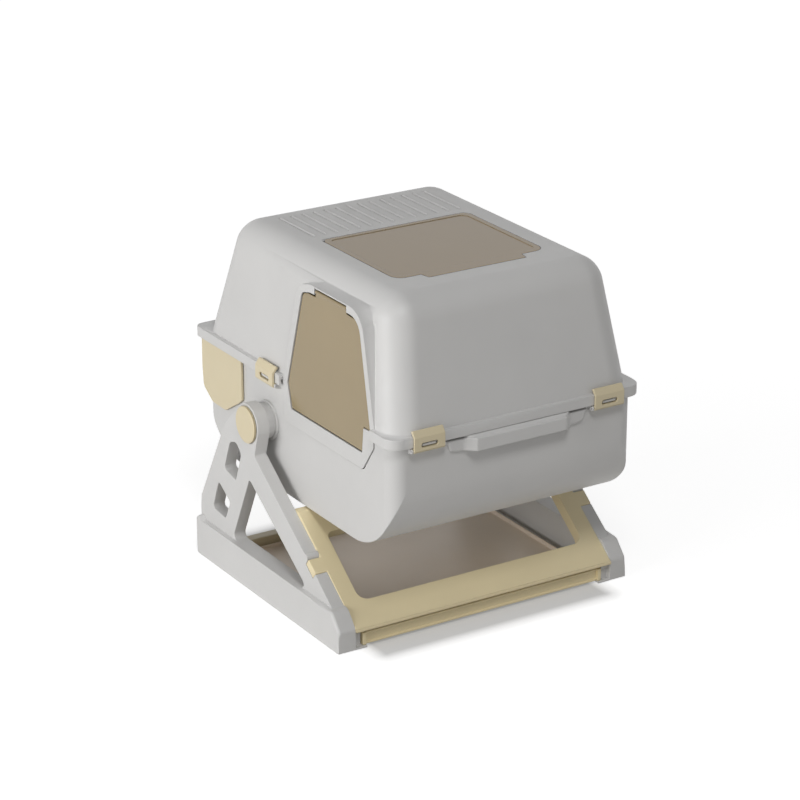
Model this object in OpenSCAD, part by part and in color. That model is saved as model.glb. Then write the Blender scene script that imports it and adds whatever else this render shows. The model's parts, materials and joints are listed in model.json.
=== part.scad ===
// Roll-to-sift enclosed litter box on an A-frame stand. Millimetres, +Z up, floor at z = 0.
// Y = 0 of the working layout is the middle of the stand; everything is shifted at the end so
// that the origin is the middle of the footprint of the whole object.

/* [Stand] */
// Depth of the side frames, front to back
stand_depth = 421; // [400:1:460]
// Thickness of a side frame
frame_thickness = 28.5; // [20:0.5:34]
// Gap between the tub wall and the side frame
side_gap = 17.2; // [15:0.2:26]
// How far the legs stay behind the outer face of the base rail
leg_inset = 8.7; // [2:0.1:10]
// Height of the base rail
rail_height = 59; // [50:1:70]
// Distance of the pivot behind the middle of the stand
pivot_offset = 61.7; // [50:0.1:75]
// Radius of the hub at the top of a side frame
hub_radius = 32; // [31:0.5:40]
// Width of the ledge that carries the base tray
runner_width = 20; // [14:1:30]
// Thickness of that ledge
runner_thickness = 3; // [2:0.5:4]
// Radius of a rubber foot
foot_radius = 9; // [6:0.5:12]
// How far a rubber foot stands out of the frame
foot_drop = 1.2; // [0.8:0.2:3]

/* [Front panel] */
// Slope of the front panel
panel_slope = 37.3; // [34:0.1:40]
// Distance from the middle of the stand to the top edge of the panel
panel_setback = 50; // [40:1:60]
// Depth of the panel skirt
panel_depth = 18; // [12:1:22]
// Wall of the panel
panel_wall = 3; // [2:0.5:4]
// Width of each side arm of the panel
panel_arm = 27; // [20:1:40]
// Length of the top bar of the panel, down the slope
panel_top_bar = 43; // [34:1:56]
// Length of the bottom bar of the panel, down the slope
panel_low_bar = 42; // [34:1:56]
// Height of the rounded lower edge of the panel
panel_low_edge = 29; // [27:0.5:33]
// Size of a locking tab along the slope
tab_length = 25; // [16:1:30]
// Rubber stop pad thickness
pad_thickness = 2.2; // [1.6:0.2:4]
// Rubber stop pad length
pad_length = 40; // [20:1:70]

/* [Base tray and rear bar] */
// Height of the tray wall
tray_wall_height = 9; // [6:0.5:14]
// Tray floor and wall thickness
tray_wall = 2.5; // [2:0.25:4]
// Height of the yellow lip
lip_height = 23; // [18:0.5:24]
// Thickness of the yellow lip
lip_thickness = 7; // [5:0.5:10]
// Depth of the rear cross bar, front to back
rear_bar_depth = 18; // [12:1:26]
// Height of the rear cross bar
rear_bar_height = 21; // [15:1:30]

/* [Tub] */
// Outer width of the tub
tub_width = 410; // [380:2:440]
// From the pivot to the front wall of the tub
pivot_to_front = 343.2; // [335:0.1:350]
// From the pivot to the rear wall of the tub
pivot_to_rear = 190.3; // [180:0.1:215]
// From the floor to the underside of the tub
tub_floor_height = 159.5; // [150:0.5:175]
// From the underside of the tub to its rim
tub_depth = 182.1; // [175:0.1:190]
// From the underside of the tub to the pivot
pivot_above_tub = 100.4; // [95:0.1:105]
// Radius of the round front and rear ends of the tub, seen from the side
tub_end_radius = 105.5; // [80:0.5:110]
// Radius of the upright corners of the tub
tub_corner = 24; // [14:1:34]
// Tub wall
tub_wall = 3; // [2.4:0.2:4]
// Flange thickness of the tub rim
flange_thickness = 4; // [3:0.5:5]

/* [Hood] */
// How far the hood rim stands out in front of the tub
rim_front = 8.5; // [8:0.5:12]
// How far the hood rim stands out at the sides
rim_side = 8; // [7.5:0.1:8.5]
// How far the hood rim stands out at the back
rim_rear = 22; // [18:0.5:28]
// Height of the outer band of the hood rim
rim_height = 15.8; // [13:0.1:18]
// Wall of the rim band and of the hood
hood_wall = 3; // [2.4:0.2:3.4]
// From the top of the hood rim to the roof
hood_height = 183.6; // [170:0.1:200]
// How far the side walls lean in over the height of the hood
side_lean = 21; // [10:1:30]
// How far the front wall leans in
front_lean = 42; // [20:1:60]
// How far the rear wall leans in
rear_lean = 48; // [20:1:60]
// Radius of the rounded edges of the hood
hood_round = 45; // [30:1:50]

/* [Roof] */
// Width of the roof window
window_width = 252; // [200:1:264]
// Length of the roof window
window_length = 207; // [160:1:220]
// From the front of the tub to the front edge of the window
window_setback = 116.5; // [105:0.5:130]
// Thickness of the window pane
window_thickness = 4; // [3:0.25:5]
// Width of the finger tab in front of the window
window_tab = 172; // [80:1:180]
// Number of roof vent slots
vent_count = 14; // [8:1:14]
// Spacing of the roof vent slots
vent_pitch = 19.3; // [15:0.1:19.5]
// Length of a roof vent slot
vent_length = 101; // [60:1:105]
// Width of a roof vent slot
vent_width = 4; // [2.5:0.25:6]

/* [Door] */
// Length of the door opening
door_length = 229; // [200:1:235]
// From the pivot forward to the rear edge of the door
door_setback = 58.2; // [50:0.2:75]
// From the roof down to the top of the door
door_headroom = 34; // [30:1:60]
// How far the door reaches below the rim of the hood
door_drop = 30; // [20:1:36]
// How far the border reaches below the door
lobe_drop = 24; // [16:1:28]
// Thickness of the door flap
flap_thickness = 3; // [2:0.25:3.5]
// Gap round the door flap
flap_gap = 1.5; // [1:0.25:2.5]
// Length of the hinge pocket over the door
door_pocket = 87; // [60:1:95]
// Width of the raised border round the door
door_border = 12; // [8:1:16]

/* [Pivot] */
// Radius of the stub axle
axle_radius = 20; // [16:0.5:21]
// Wall of the bearing ring
bush_wall = 4; // [3:0.5:6]
// Radius of the yellow pivot cap
cap_radius = 28; // [26:0.5:32]
// How far the pivot cap stands out of the frame
cap_height = 4.5; // [3:0.1:8]
// Radial running clearance of the axle
axle_play = 0.05; // [0.02:0.01:0.1]

/* [Latches] */
// Width of a latch
latch_width = 50; // [40:1:60]
// Thickness of a latch plate
latch_plate = 3.2; // [2.5:0.1:3.8]
// From the side wall of the tub to the middle of a front latch
latch_inset = 53; // [50:1:95]
// From the side wall of the tub to the middle of a rear latch
rear_latch_inset = 66; // [50:1:95]
// Distance of the side latches behind the pivot, negative in front of it
side_latch_offset = -8.8; // [-15:0.1:0]
// Radius of a latch pin
latch_pin_radius = 1.5; // [1.2:0.1:1.8]

/* [Handle] */
// Length of the front grip
grip_length = 152; // [110:1:170]
// Height of the front grip
grip_height = 20; // [16:0.5:24]
// How far the front grip stands out from the tub
grip_reach = 16.5; // [14:0.5:24]

/* [Waste drawer and sieve] */
// Depth of the drawer bay, front to back
bay_depth = 107.4; // [95:0.2:118]
// How far the drawer front laps round the rear corner
drawer_wrap = 6.6; // [0:0.2:8]
// Height of the drawer bay
bay_height = 92; // [80:1:100]
// Wall of the drawer housing
housing_wall = 2; // [1.6:0.2:2.6]
// Gap round the drawer
drawer_gap = 1; // [0.6:0.1:1.5]
// Drawer wall
drawer_wall = 2.5; // [2:0.1:3.5]
// Drawer front thickness
drawer_front = 4; // [3:0.5:5]
// Slot width of the sieve
sieve_slot = 9; // [6:0.5:12]
// Web between two slots of the sieve
sieve_web = 5; // [4:0.5:8]
// Thickness of the sieve
sieve_thickness = 4; // [3:0.5:6]
// Slope of the sieve
sieve_tilt = 40; // [34:1:46]
// Length of the sieve along its slope
sieve_run = 96; // [80:1:110]

/* [Hidden] */
$fn = 48;
gap = 0.4;
seat = 0.3;

white = [0.93, 0.93, 0.92];
yellow = [0.93, 0.86, 0.66];
tan_clear = [0.62, 0.54, 0.42];
rubber_grey = [0.25, 0.25, 0.25];
steel = [0.72, 0.73, 0.75];
bearing_grey = [0.55, 0.56, 0.58];

// levels
tub_top = tub_floor_height + tub_depth;
pivot_z = tub_floor_height + pivot_above_tub;
rim_under = tub_top + gap;
rim_top = rim_under + hood_wall + gap;
rim_low = rim_top - rim_height;
roof_z = rim_top + hood_height;

// across
half_tub = tub_width / 2;
frame_in = half_tub + side_gap;
frame_out = frame_in + frame_thickness;
half_rim = half_tub + rim_side;
latch_offset = half_tub - latch_inset;
rear_latch_offset = half_tub - rear_latch_inset;
leg_out = frame_out - leg_inset;
cap_out = leg_out + cap_height;

// front to back
pivot_y = pivot_offset;
tub_front = pivot_y - pivot_to_front;
tub_rear = pivot_y + pivot_to_rear;
rim_y0 = tub_front - rim_front;
rim_y1 = tub_rear + rim_rear;
stand_y = stand_depth / 2;

// ---------- helpers ----------
function unit(v) = v / norm(v);
function turn(a) = a > 180 ? a - 360 : a < -180 ? a + 360 : a;
// points of an arc of radius r that replaces corner q between p and s
function corner(p, q, s, r, n) =
    let (u = unit(p - q), v = unit(s - q), w = unit(u + v), half = acos(u * w))
    let (c = q + w * r / sin(half), a = q + u * r / tan(half) - c, b = q + v * r / tan(half) - c)
    let (a0 = atan2(a[1], a[0]), da = turn(atan2(b[1], b[0]) - a0))
    r <= 0 ? [q] : [for (i = [0:n]) c + r * [cos(a0 + da * i / n), sin(a0 + da * i / n)]];
// a closed outline of [y, z, radius] triples with its corners rounded
function rounded(t, n = 6) =
    let (m = len(t))
    [for (i = [0:m - 1]) each corner(
        [t[(i + m - 1) % m][0], t[(i + m - 1) % m][1]], [t[i][0], t[i][1]],
        [t[(i + 1) % m][0], t[(i + 1) % m][1]], t[i][2], n)];
function arc(c, r, a0, a1, n = 24) =
    [for (i = [0:n]) c + r * [cos(a0 + (a1 - a0) * i / n), sin(a0 + (a1 - a0) * i / n)]];

// an outline in Y and Z, extruded along X
module slab_x(x0, x1) {
    translate([x0, 0, 0]) rotate([90, 0, 90]) linear_extrude(x1 - x0) children();
}
// an outline in X and Z, extruded along Y
module slab_y(y0, y1) {
    translate([0, y1, 0]) rotate([90, 0, 0]) linear_extrude(y1 - y0) children();
}
module rod_x(x0, x1, y, z, r) {
    translate([x0, y, z]) rotate([0, 90, 0]) cylinder(h = x1 - x0, r = r);
}
module rod_y(y0, y1, x, z, r) {
    translate([x, y0, z]) rotate([-90, 0, 0]) cylinder(h = y1 - y0, r = r);
}
module block(a, b) {
    translate(a) cube(b - a);
}
// a rounded rectangle in plan, from corner a to corner b
module plan(a, b, rf, rr) {
    polygon(rounded([[a[0], a[1], rf], [b[0], a[1], rf], [b[0], b[1], rr], [a[0], b[1], rr]], 8));
}
module right_side() {
    mirror([1, 0, 0]) children();
}

// everything ends up here: the middle of the footprint is the origin
grip_y = tub_front - grip_reach;
latch_out = latch_plate + 1.2;
rear_edge = rim_y1 + latch_out;
frame_shift = -(grip_y + rear_edge) / 2;
module place() {
    translate([0, frame_shift, 0]) children();
}

// ---------- stand ----------
panel_rear_land = 14;
panel_top_y = -panel_setback;
panel_top_z = tub_floor_height - pad_thickness - seat;
slope_dir = [-cos(panel_slope), -sin(panel_slope)];
slope_up = [-sin(panel_slope), cos(panel_slope)];
function on_panel(u, n) = [panel_top_y, panel_top_z] + u * slope_dir + n * slope_up;
panel_len = (panel_top_z - panel_low_edge - 5) / sin(panel_slope);
tab_u = 78;
tab_depth = 12;
nub_r = 6;

frame_foot = foot_drop;
// the legs stay this far under the face of the panel
leg_under = 1;
nose_u = (stand_y - panel_setback) / cos(panel_slope);
shoulder_y = pivot_y + 70.3;
shoulder_z = pivot_z - 23.4;
rear_knee_z = rail_height + 36;

module leg_outline() {
    nose = on_panel(nose_u, -leg_under);
    below = on_panel(tab_u + tab_length + 1, -leg_under);
    above = on_panel(tab_u - 8, -leg_under - 1);
    polygon(rounded([
        [-stand_y, frame_foot, 2],
        [-stand_y, nose[1], 8],
        [below[0], below[1], 0],
        [above[0], above[1], 0],
        [pivot_y - 20.7, pivot_z - 43, 4],
        [pivot_y - hub_radius, pivot_z - 6, 0],
        [pivot_y, pivot_z, 0],
        [pivot_y + 15.3, pivot_z + 28, 0],
        [shoulder_y, shoulder_z, 10],
        [stand_y - 1, rear_knee_z, 14],
        [stand_y, rear_knee_z - 12, 0],
        [stand_y, frame_foot, 2]]));
}
module rail_outline() {
    nose = on_panel(nose_u, -leg_under);
    polygon(rounded([
        [-stand_y, frame_foot, 2],
        [-stand_y, nose[1], 10],
        [-stand_y + 22, rail_height, 12],
        [stand_y - 20, rail_height, 6],
        [stand_y, rail_height + 12, 8],
        [stand_y, frame_foot, 2]]));
}

// the openings keep their place between the hub, the rail and the rear leg
module upper_opening() {
    polygon(rounded([
        [pivot_y + 73.3, pivot_z - 95, 6],
        [pivot_y + 37.8, pivot_z - 102.4, 4],
        [pivot_y + 20.3, pivot_z - 55, 9],
        [pivot_y + 34, pivot_z - 40, 12],
        [pivot_y + 54, pivot_z - 46, 12]]));
}
module lower_opening() {
    polygon(rounded([
        [pivot_y + 111.8, rail_height + 28.5, 6],
        [pivot_y + 72.3, rail_height + 24.5, 6],
        [pivot_y + 57.3, rail_height + 56, 5],
        [pivot_y + 91.8, rail_height + 78.5, 6]]));
}
module big_opening() {
    polygon(rounded([
        [pivot_y + 51, rail_height, 8],
        [pivot_y - 3.4, pivot_z - 85.9, 5],
        [pivot_y - 172.7, rail_height, 6]]));
}

foot_places = [-stand_y + 22, stand_y - 22];
foot_x = frame_in + frame_thickness / 2;
screw_r = 2;
screw_head_r = 4;
screw_len = 12;
rear_bar_y = stand_y - 53.5;
rear_bar_z = frame_foot + runner_thickness;

module side_frame() {
    tab_a = on_panel(tab_u - gap, -tab_depth - gap);
    nub = on_panel(tab_u - nub_r - 1, -nub_r + 1);
    difference() {
        union() {
            slab_x(-leg_out, -frame_in) leg_outline();
            // base rail with a bevelled upper edge
            intersection() {
                slab_x(-frame_out, -frame_in) rail_outline();
                slab_y(-stand_y, stand_y) polygon([
                    [-frame_out, 0], [-frame_in, 0], [-frame_in, pivot_z],
                    [-leg_out, pivot_z], [-leg_out, rail_height + 10],
                    [-frame_out, rail_height]]);
            }
            rod_x(-leg_out, -frame_in, pivot_y, pivot_z, hub_radius);
            rod_x(-leg_out, -frame_in, nub[0], nub[1], nub_r);
            // ledge for the tray, and the block beside its lip
            block([-frame_in - 1, -stand_y + 1, frame_foot],
                [-frame_in + runner_width, rear_bar_y - 2, frame_foot + runner_thickness]);
            block([-frame_in - 1, -stand_y + 7, frame_foot],
                [-frame_in + 12, -stand_y + 22, frame_foot + lip_height]);
        }
        slab_x(-frame_out - 1, -frame_in + 1) upper_opening();
        slab_x(-frame_out - 1, -frame_in + 1) lower_opening();
        slab_x(-frame_out - 1, -frame_in + 1) big_opening();
        // bearing seat and a shallow seat for the cap
        rod_x(-frame_out - 1, -frame_in + 1, pivot_y, pivot_z, axle_radius + bush_wall);
        rod_x(-leg_out - 1, -leg_out + 1.2, pivot_y, pivot_z, cap_radius + 0.8);
        // notch for the tab of the front panel
        translate([-leg_out - 1, tab_a[0], tab_a[1]])
            rotate([-(180 - panel_slope), 0, 0]) mirror([0, 0, 1])
                cube([leg_out - frame_in + 2, tab_length + 2 * gap, tab_depth + 30]);
        for (y = foot_places) {
            translate([-foot_x, y, frame_foot - 1]) cylinder(h = 3.8, r = foot_radius);
        }
        for (s = stand_screws) {
            rod_x(-frame_in - screw_len + 3, -frame_in + 1, s[0], s[1], screw_r);
        }
    }
}

// screws that hold the front panel and the rear bar to a side frame, as [y, z]
panel_screw_a = on_panel(22, -9);
panel_screw_b = on_panel(panel_len - 32, -9);
stand_screws = [panel_screw_a, panel_screw_b,
    [rear_bar_y + rear_bar_depth / 2, rear_bar_z + rear_bar_height / 2]];

module side_frame_left() {
    color(white) place() side_frame();
}
module side_frame_right() {
    color(white) place() right_side() side_frame();
}

// outline of the panel in its own plane, seen from above: x, and u down the slope
module panel_plan(inset) {
    difference() {
        translate([-frame_in + inset, inset])
            square([2 * frame_in - 2 * inset, panel_len - 2 * inset]);
        polygon(rounded([
            [-frame_in + panel_arm - inset, panel_top_bar - inset, 9 + inset],
            [frame_in - panel_arm + inset, panel_top_bar - inset, 9 + inset],
            [frame_in - panel_arm + inset, panel_len - panel_low_bar + inset, 16 + inset],
            [-frame_in + panel_arm - inset, panel_len - panel_low_bar + inset, 16 + inset]]));
    }
}
module on_slope() {
    translate([0, panel_top_y, panel_top_z]) rotate([180 + panel_slope, 0, 0])
        mirror([0, 0, 1]) children();
}
module front_panel() {
    land = on_panel(0, -panel_depth);
    color(yellow) place() difference() {
        union() {
            on_slope() translate([0, 0, -panel_depth]) linear_extrude(panel_depth) panel_plan(0);
            // flat land on the top edge, for the stop pads
            slab_x(-frame_in, frame_in) polygon([
                [panel_top_y, panel_top_z],
                [land[0], land[1]],
                [panel_top_y + panel_rear_land, panel_top_z - 8],
                [panel_top_y + panel_rear_land, panel_top_z]]);
            // upright lower edge
            block([-frame_in, -stand_y - 3, panel_low_edge],
                [frame_in, -stand_y + 12, panel_low_edge + 5]);
            for (s = [-1, 1]) {
                on_slope() translate([s > 0 ? frame_in - 6 : -leg_out, tab_u, -tab_depth])
                    cube([leg_out - frame_in + 6, tab_length, tab_depth]);
            }
        }
        // hollow underneath
        on_slope() translate([0, 0, -panel_depth - 1]) linear_extrude(panel_depth + 1 - panel_wall)
            panel_plan(panel_wall);
        // room for the tray and its lip
        block([-frame_in - 1, -stand_y - 20, 0], [frame_in + 1, stand_y, panel_low_edge]);
        for (s = [-1, 1]) {
            for (q = [panel_screw_a, panel_screw_b]) {
                rod_x(s > 0 ? frame_in - 8 : -frame_in - 1, s > 0 ? frame_in + 1 : -frame_in + 8,
                    q[0], q[1], screw_r + 0.2);
            }
        }
    }
}

module rear_crossbar() {
    w = 2.5;
    color(yellow) place() difference() {
        block([-frame_in, rear_bar_y, rear_bar_z],
            [frame_in, rear_bar_y + rear_bar_depth, rear_bar_z + rear_bar_height]);
        block([-frame_in + 4, rear_bar_y + w, rear_bar_z - 1],
            [frame_in - 4, rear_bar_y + rear_bar_depth - w, rear_bar_z + rear_bar_height - w]);
        rod_x(-frame_in - 1, -frame_in + 5, stand_screws[2][0], stand_screws[2][1],
            screw_r + 0.2);
        rod_x(frame_in - 5, frame_in + 1, stand_screws[2][0], stand_screws[2][1],
            screw_r + 0.2);
    }
}

module screw(x, s) {
    wall = x == 2 ? 4 : panel_wall;
    rod_x(-frame_in - screw_len + 3.2, -frame_in + wall, s[0], s[1], screw_r);
    rod_x(-frame_in + wall, -frame_in + wall + 2.4, s[0], s[1], screw_head_r);
}
module frame_screws() {
    color(steel) place() {
        for (i = [0:len(stand_screws) - 1]) {
            screw(i, stand_screws[i]);
            right_side() screw(i, stand_screws[i]);
        }
    }
}

module feet() {
    color(rubber_grey) place() {
        for (y = foot_places, s = [-1, 1]) {
            translate([s * foot_x, y, 0]) cylinder(h = frame_foot + 2.8, r = foot_radius);
        }
    }
}

pad_x = 120;
module stop_pads() {
    color(rubber_grey) place() {
        for (s = [-1, 1]) {
            block([s * pad_x - pad_length / 2, panel_top_y + 1, panel_top_z],
                [s * pad_x + pad_length / 2, panel_top_y + panel_rear_land - 1,
                    panel_top_z + pad_thickness]);
        }
    }
}

// ---------- base tray ----------
tray_z = frame_foot + runner_thickness + seat;
lip_y = -stand_y + 5;
tray_y0 = lip_y + lip_thickness;
tray_y1 = rear_bar_y - 4;
tray_half = frame_in - 12 - 1.5;
module base_tray() {
    color(white) place() difference() {
        linear_extrude_at(tray_z, tray_z + tray_wall_height)
            plan([-tray_half, tray_y0], [tray_half, tray_y1], 4, 8);
        linear_extrude_at(tray_z + tray_wall, tray_z + tray_wall_height + 1)
            plan([-tray_half + tray_wall, tray_y0 + tray_wall],
                [tray_half - tray_wall, tray_y1 - tray_wall], 3, 6);
    }
}
module linear_extrude_at(z0, z1) {
    translate([0, 0, z0]) linear_extrude(z1 - z0) children();
}
module tray_lip() {
    e = tray_half;
    color(yellow) place() difference() {
        union() {
            block([-e, lip_y + 2, tray_z], [e, lip_y + lip_thickness, tray_z + lip_height - 4]);
            block([-e, lip_y, tray_z + lip_height - 7], [e, lip_y + 3, tray_z + lip_height - 4]);
            block([-e, lip_y, tray_z], [e, lip_y + 3, tray_z + 3]);
            for (s = [-1, 1]) {
                block([s * (e - 3) - 3, lip_y - 2, tray_z],
                    [s * (e - 3) + 3, lip_y + 3, tray_z + lip_height - 4]);
            }
        }
        // finger recess behind the lip
        block([-40, lip_y + 4, tray_z - 1], [40, lip_y + lip_thickness + 1, tray_z - 0.5]);
    }
}

// ---------- pivots ----------
bush_flange = 1.5;
collar_r = axle_radius + 6;
module pivot_bush() {
    difference() {
        union() {
            rod_x(-leg_out + 1.2, -frame_in, pivot_y, pivot_z, axle_radius + bush_wall);
            rod_x(-frame_in, -frame_in + bush_flange, pivot_y, pivot_z,
                axle_radius + bush_wall + 4);
        }
        rod_x(-leg_out - 1, -frame_in + 3, pivot_y, pivot_z, axle_radius + axle_play);
    }
}
module pivot_bush_left() {
    color(bearing_grey) place() pivot_bush();
}
module pivot_bush_right() {
    color(bearing_grey) place() right_side() pivot_bush();
}

axle_flange_r = axle_radius + 10;
axle_flange = 4;
spigot_r = axle_radius - 4;
axle_bore = spigot_r - 4;
nut_thickness = 6;
module pivot_axle() {
    difference() {
        union() {
            rod_x(-half_tub - axle_flange, -half_tub, pivot_y, pivot_z, axle_flange_r);
            rod_x(-frame_in + bush_flange + gap, -half_tub, pivot_y, pivot_z, collar_r);
            rod_x(-leg_out, -half_tub, pivot_y, pivot_z, axle_radius);
            rod_x(-half_tub, -half_tub + tub_wall + nut_thickness, pivot_y, pivot_z, spigot_r);
        }
        rod_x(-leg_out - 1, -half_tub + tub_wall + nut_thickness + 1, pivot_y, pivot_z,
            axle_bore);
    }
}
module pivot_axle_left() {
    color(white) place() pivot_axle();
}
module pivot_axle_right() {
    color(white) place() right_side() pivot_axle();
}
module pivot_nut() {
    difference() {
        union() {
            rod_x(-half_tub + tub_wall, -half_tub + tub_wall + nut_thickness - 1,
                pivot_y, pivot_z, axle_flange_r - 2);
            for (a = [0:60:300]) {
                translate([0, pivot_y, pivot_z]) rotate([a, 0, 0])
                    block([-half_tub + tub_wall, -3, axle_flange_r - 5],
                        [-half_tub + tub_wall + nut_thickness - 1, 3, axle_flange_r + 1]);
            }
        }
        rod_x(-half_tub, -half_tub + 20, pivot_y, pivot_z, spigot_r + axle_play);
    }
}
module pivot_nuts() {
    color(white) place() {
        pivot_nut();
        right_side() pivot_nut();
    }
}

cap_disc = 0.8;
cap_groove = 2;
cap_foot = 1.2;
cap_spigot = 14;
module pivot_cap() {
    dome = 1.2;
    face = cap_out - dome;
    union() {
        rod_x(-face, -face + cap_disc, pivot_y, pivot_z, cap_radius);
        rod_x(-face, -leg_out, pivot_y, pivot_z, cap_radius - cap_groove);
        rod_x(-leg_out - cap_foot, -leg_out, pivot_y, pivot_z, cap_radius);
        translate([-face, pivot_y, pivot_z]) rotate([0, -90, 0])
            cylinder(h = dome, r1 = cap_radius, r2 = cap_radius - 2.5);
        rod_x(-leg_out, -leg_out + cap_spigot, pivot_y, pivot_z, axle_bore - axle_play);
    }
}
module pivot_cap_left() {
    color(yellow) place() pivot_cap();
}
module pivot_cap_right() {
    color(yellow) place() right_side() pivot_cap();
}

// ---------- tub ----------
module tub_side(inset, top) {
    r = tub_end_radius - inset;
    zf = tub_floor_height + inset;
    polygon(concat(
        arc([tub_rear - inset - r, zf + r], r, -90, 0),
        [[tub_rear - inset, top], [tub_front + inset, top]],
        arc([tub_front + inset + r, zf + r], r, 180, 270)));
}
module tub_body(inset, top) {
    intersection() {
        slab_x(-half_tub + inset, half_tub - inset) tub_side(inset, top);
        linear_extrude_at(tub_floor_height - 1, top + 1)
            plan([-half_tub + inset, tub_front + inset], [half_tub - inset, tub_rear - inset],
                tub_corner - inset, tub_corner - inset);
    }
}

// the drawer's outline; its housing and the mouth in the tub follow it
bay_y1 = tub_rear - tub_wall - seat - housing_wall - drawer_gap;
bay_y0 = bay_y1 - bay_depth;
bay_low = rim_low - bay_height;
bay_keel = [48, 81.4];
bay_nose = [8, 25];
bay_cheek = 31;
bay_heel = [3, 15];
bay_rise = 46;
module bay_outline(grow, top, wrap = 0) {
    rear = bay_y1 + grow + wrap;
    polygon(rounded([
        [bay_y0 - grow, top, 0],
        [bay_y0 - grow, bay_low + bay_cheek - grow * 0.5, 3],
        [bay_y0 + bay_nose[0] - grow * 0.5, bay_low + bay_nose[1] - grow, 4],
        [bay_y0 + bay_keel[0], bay_low - grow, 10],
        [bay_y0 + bay_keel[1] + wrap, bay_low + 1 - grow, 16],
        [rear - bay_heel[0], bay_low + bay_heel[1], 12],
        [rear, bay_low + bay_rise, 0],
        [rear, top, 0]]));
}
// keeps clear of the round corners of the tub, except at the mouth on the left
module bay_room(inset) {
    union() {
        tub_body(tub_wall + seat + inset - 0.2, tub_top + 10);
        block([-half_tub - 30, bay_y0 - 30, tub_floor_height], [0, tub_rear + 10, tub_top + 10]);
    }
}

// outlines of the door and of its raised border; the tub has a cut-out for the lower lobe
door_top = roof_z - door_headroom;
door_low = rim_low - door_drop;
door_mid = rim_low + 9;
door_rear = pivot_y - door_setback;
door_front = door_rear - door_length;
door_heel = 10;
door_rear_lean = 45;
door_rear_brow = [23, 6];
door_front_lean = 30;
door_step = [18, 22];
door_rounds = [12, 30, 26];
module door_outline(grow) {
    g = grow;
    polygon(rounded([
        [door_rear - door_heel + g, door_low - g, 3],
        [door_rear + g, door_mid, 4],
        [door_rear - door_rear_lean + g, door_top - door_rear_brow[1] + g * 0.7,
            door_rounds[0] + g],
        [door_rear - door_rear_lean - door_rear_brow[0], door_top + g, door_rounds[1]],
        [door_front + door_front_lean - g * 0.6, door_top + g, door_rounds[2] + g],
        [door_front - g, door_mid, 1],
        [door_front + door_step[0] - g, door_mid - 1 - g, 1],
        [door_front + door_step[1] - g, door_low - g, 2]]));
}
lobe_low = door_low - lobe_drop;
lobe_rear = door_rear + door_border;
lobe_front = door_front - door_border + 4;
lobe_slant = [29, 41];
lobe_round = 8;
lobe_top = rim_top + 1;
module lobe_outline(g) {
    polygon(rounded([
        [lobe_rear + g, lobe_top, 0],
        [lobe_rear + g, lobe_low - g, lobe_round + g],
        [lobe_front + lobe_slant[0] - g, lobe_low - g, lobe_round + g],
        [lobe_front - g, lobe_low + lobe_slant[1], lobe_round + 2],
        [lobe_front - g, lobe_top, 0]]));
}

// latch positions: [along the wall, turn of the wall]; a latch is drawn for the front wall
latch_pin_z = rim_low - 4;
latch_pin_out = 0.6;
lug_width = 3;
pin_cover = 2.8;
lug_gap = 0.4;
lug_x = latch_width / 2 + lug_gap + lug_width / 2;
module at_front(x) {
    translate([x, rim_y0, 0]) children();
}
module at_rear(x) {
    translate([x, rim_y1, 0]) rotate([0, 0, 180]) children();
}
side_latch_y = pivot_y + side_latch_offset;
module at_left() {
    translate([-half_rim, side_latch_y, 0]) rotate([0, 0, -90]) children();
}
module at_right() {
    translate([half_rim, side_latch_y, 0]) rotate([0, 0, 90]) children();
}
module at_latches() {
    at_front_pair() children();
    at_rear_pair() children();
    at_left() children();
    at_right() children();
}
module at_front_pair() {
    at_front(-latch_offset) children();
    at_front(latch_offset) children();
}
module at_rear_pair() {
    at_rear(-rear_latch_offset) children();
    at_rear(rear_latch_offset) children();
}

// bracket with two lugs that carry the pin of a latch; reach is from the rim to the tub wall
lug_round = 2;
lug_below = 2.2;
bracket_base = 1.6;
module latch_bracket(reach) {
    end = lug_x + lug_width / 2;
    lug_z0 = latch_pin_z - pin_cover;
    lug_z1 = latch_pin_z + pin_cover;
    difference() {
        union() {
            for (s = [-1, 1]) {
                translate([s * lug_x - lug_width / 2, 0, 0]) slab_x(0, lug_width)
                    polygon(rounded([
                        [latch_pin_out - pin_cover, lug_z0, lug_round],
                        [reach, lug_z0 - lug_below, 0],
                        [reach, lug_z1, 0],
                        [latch_pin_out - pin_cover, lug_z1, lug_round]]));
            }
            block([-end, reach - bracket_base, lug_z0 - lug_below], [end, reach, lug_z1]);
        }
        rod_x(-end - 1, end + 1, latch_pin_out, latch_pin_z, latch_pin_radius);
    }
}
module latch_brackets() {
    color(white) place() {
        at_front_pair() latch_bracket(rim_front);
        at_rear_pair() latch_bracket(rim_rear);
        at_left() latch_bracket(rim_side);
        at_right() latch_bracket(rim_side);
    }
}

flange_in = gap + hood_wall;
module tub_flange() {
    linear_extrude_at(tub_top - flange_thickness, tub_top)
        plan([-half_rim + flange_in, rim_y0 + flange_in], [half_rim - flange_in, rim_y1 - flange_in],
            22 - flange_in, 14 - flange_in);
}

module tub() {
    color(white) place() difference() {
        union() {
            tub_body(0, tub_top);
            tub_flange();
        }
        tub_body(tub_wall, tub_top + 2);
        // mouth of the drawer, also through the round rear corner
        slab_x(-half_tub - 20, -half_tub + tub_corner + 12) bay_outline(drawer_gap, rim_low + 2);
        slab_x(-half_tub - 20, -half_tub + 20) lobe_outline(gap * 2);
        slab_x(-half_tub - 20, -half_tub + 20) door_outline(gap * 2);
        for (s = [-1, 1]) {
            rod_x(s > 0 ? half_tub - 10 : -half_tub - 10, s > 0 ? half_tub + 10 : -half_tub + 10,
                pivot_y, pivot_z, spigot_r);
        }
    }
}

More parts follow.
